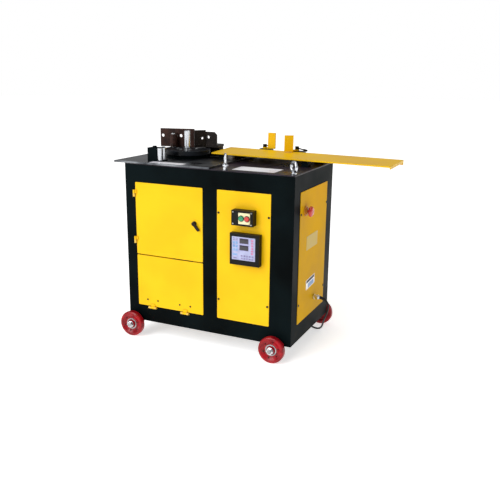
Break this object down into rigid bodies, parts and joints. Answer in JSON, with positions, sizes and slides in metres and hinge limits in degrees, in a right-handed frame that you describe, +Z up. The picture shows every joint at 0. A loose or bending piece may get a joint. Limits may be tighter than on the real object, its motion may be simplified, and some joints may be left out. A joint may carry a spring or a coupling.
{
  "type": "rebar stirrup bending machine",
  "caption": "Table bender for reinforcing bar: a wheeled cabinet with a motor-driven bending disc, a fixed resist bracket and a length-stop rail.",
  "frame": {"origin": "on the floor, under the middle of the whole machine, rail included and cord left out", "axes": "+X to the operator's right along the rail, +Y away from the operator, +Z up"},
  "size_m": [1.26, 0.7605, 0.9925],
  "materials": {
    "black_paint": "semi-gloss black enamel",
    "steel_plate": "ground steel plate with a bright sheen",
    "blackened_steel": "blackened steel, oiled",
    "machined_steel": "turned steel",
    "polished_steel": "bright zinc or polished steel",
    "brown_steel": "brown heat-treated steel",
    "dark_steel": "dark oxide steel",
    "cast_iron": "bare casting",
    "machine_blue": "machine enamel",
    "yellow_paint": "gloss yellow enamel",
    "black_plastic": "fine-grained moulding",
    "ivory_plastic": "satin moulding",
    "green_plastic": "gloss moulding",
    "red_plastic": "gloss moulding",
    "membrane": "printed membrane without lettering",
    "amber_plastic": "gloss moulding",
    "white_plate": "blank white enamel plate",
    "cord_rubber": "black rubber sheath",
    "plug_blue": "moulded plug body",
    "red_wheel": "deep gloss red",
    "grey_components": "switchgear on a sheet-steel plate"
  },
  "bodies": {
    "cabinet": {"frame": "black_paint", "deck_plate": "black_paint", "work_plate": "steel_plate", "spindle_housing": "cast_iron", "spindle_bearings": "machined_steel", "gearbox": "machine_blue", "motor": "machine_blue", "motor_cowl": "machine_blue", "drive_shelf": "black_paint", "hinge_leaves": "yellow_paint", "control_panel": "yellow_paint", "rear_panels": "yellow_paint", "side_panel_left": "yellow_paint", "side_panel_right": "yellow_paint", "panel_screws": "dark_steel", "switch_box": "black_plastic", "switch_plate": "ivory_plastic", "control_unit": "black_plastic", "keypad": "membrane", "estop_collar": "amber_plastic", "blank_plates": "white_plate", "cable_gland": "polished_steel", "power_cord": "cord_rubber", "cord_coil": "cord_rubber", "power_plug": "plug_blue", "wheel_axles": "machined_steel", "axle_nuts": "polished_steel", "rail_plate": "yellow_paint", "rail_supports": "black_paint", "resist_bracket": "dark_steel", "guide_block": "black_paint", "eye_bolts": "polished_steel", "electrical_gear": "grey_components"},
    "bending_table": {"bending_disc": "blackened_steel", "spindle": "machined_steel", "drive_gear": "machined_steel", "mandrel_pin": "polished_steel", "bending_arm": "brown_steel", "roller_pin": "machined_steel", "disc_screws": "machined_steel"},
    "bending_roller": {"bending_roller": "brown_steel"},
    "pinion": {"pinion": "machined_steel"},
    "door": {"door": "yellow_paint"},
    "latch": {"door_latch": "dark_steel"},
    "flap": {"lower_flap": "yellow_paint"},
    "start_button": {"start_button": "green_plastic"},
    "stop_button": {"stop_button": "red_plastic"},
    "estop_button": {"estop_button": "red_plastic"},
    "wheel_front_left": {"wheel_front_left": "red_wheel"},
    "wheel_front_right": {"wheel_front_right": "red_wheel"},
    "wheel_rear_left": {"wheel_rear_left": "red_wheel"},
    "wheel_rear_right": {"wheel_rear_right": "red_wheel"},
    "slide_left": {"stop_slide_left": "dark_steel"},
    "slide_right": {"stop_slide_right": "dark_steel"},
    "stop_left": {"length_stop_left": "yellow_paint"},
    "stop_right": {"length_stop_right": "yellow_paint"},
    "lever_left": {"clamp_lever_left": "black_plastic"},
    "lever_right": {"clamp_lever_right": "black_plastic"},
    "guide_roller_front": {"guide_roller_front": "polished_steel"},
    "guide_roller_rear": {"guide_roller_rear": "polished_steel"}
  },
  "joints": [
    {"name": "disc_turn", "type": "hinge", "parent": "cabinet", "child": "bending_table", "pos_m": [-0.39498, 0.0105, 0.9025], "axis": [0, 0, 1], "range_deg": [-15, 165]},
    {"name": "roller_spin", "type": "hinge", "parent": "bending_table", "child": "bending_roller", "pos_m": [-0.48931, 0.03802, 0.9025], "axis": [0, 0, 1], "continuous": true},
    {"name": "pinion_turn", "type": "hinge", "parent": "cabinet", "child": "pinion", "pos_m": [-0.23498, 0.0105, 0.6765], "axis": [0, 0, 1], "range_deg": [-670, 70]},
    {"name": "door_swing", "type": "hinge", "parent": "cabinet", "child": "door", "pos_m": [-0.52198, -0.2805, 0.5765], "axis": [0, 0, 1], "range_deg": [-110, 0]},
    {"name": "latch_turn", "type": "hinge", "parent": "door", "child": "latch", "pos_m": [-0.19898, -0.2805, 0.5985], "axis": [0, 1, 0], "range_deg": [0, 90]},
    {"name": "flap_drop", "type": "hinge", "parent": "cabinet", "child": "flap", "pos_m": [-0.33698, -0.2805, 0.1525], "axis": [1, 0, 0], "range_deg": [0, 90]},
    {"name": "start_press", "type": "slide", "parent": "cabinet", "child": "start_button", "axis": [0, 1, 0], "range_m": [0, 0.004], "stiffness_N_per_m": 400},
    {"name": "stop_press", "type": "slide", "parent": "cabinet", "child": "stop_button", "axis": [0, 1, 0], "range_m": [0, 0.004], "stiffness_N_per_m": 400},
    {"name": "estop_press", "type": "slide", "parent": "cabinet", "child": "estop_button", "axis": [-1, 0, 0], "range_m": [0, 0.006]},
    {"name": "wheel_front_left_roll", "type": "hinge", "parent": "cabinet", "child": "wheel_front_left", "pos_m": [-0.54098, -0.3015, 0.0625], "axis": [0, 1, 0], "continuous": true},
    {"name": "wheel_front_right_roll", "type": "hinge", "parent": "cabinet", "child": "wheel_front_right", "pos_m": [0.20702, -0.3015, 0.0625], "axis": [0, 1, 0], "continuous": true},
    {"name": "wheel_rear_left_roll", "type": "hinge", "parent": "cabinet", "child": "wheel_rear_left", "pos_m": [-0.53298, 0.2705, 0.0625], "axis": [0, 1, 0], "continuous": true},
    {"name": "wheel_rear_right_roll", "type": "hinge", "parent": "cabinet", "child": "wheel_rear_right", "pos_m": [0.24502, 0.2705, 0.0625], "axis": [0, 1, 0], "continuous": true},
    {"name": "stop_left_slide", "type": "slide", "parent": "cabinet", "child": "slide_left", "axis": [0.9999, 0, -0.0105], "range_m": [-0.13, 0.03]},
    {"name": "stop_right_slide", "type": "slide", "parent": "cabinet", "child": "slide_right", "axis": [0.9999, 0, -0.0105], "range_m": [-0.03, 0.44]},
    {"name": "stop_left_swivel", "type": "hinge", "parent": "slide_left", "child": "stop_left", "pos_m": [-0.08288, 0.2565, 0.9037], "axis": [0.0105, 0, 0.9999], "range_deg": [-75, 10]},
    {"name": "stop_right_swivel", "type": "hinge", "parent": "slide_right", "child": "stop_right", "pos_m": [0.09211, 0.2565, 0.90187], "axis": [0.0105, 0, 0.9999], "range_deg": [-60, 20]},
    {"name": "lever_left_turn", "type": "hinge", "parent": "slide_left", "child": "lever_left", "pos_m": [-0.08283, 0.2565, 0.9087], "axis": [0.0105, 0, 0.9999], "range_deg": [-20, 80]},
    {"name": "lever_right_turn", "type": "hinge", "parent": "slide_right", "child": "lever_right", "pos_m": [0.09216, 0.2565, 0.90687], "axis": [0.0105, 0, 0.9999], "range_deg": [-25, 60]},
    {"name": "guide_roller_front_spin", "type": "hinge", "parent": "cabinet", "child": "guide_roller_front", "pos_m": [-0.41598, -0.2095, 0.8745], "axis": [0, 0, 1], "continuous": true},
    {"name": "guide_roller_rear_spin", "type": "hinge", "parent": "cabinet", "child": "guide_roller_rear", "pos_m": [-0.41598, -0.1805, 0.8745], "axis": [0, 0, 1], "continuous": true}
  ],
  "couplings": [
    {"joint": "pinion_turn", "follows": "disc_turn", "ratio": -4}
  ]
}
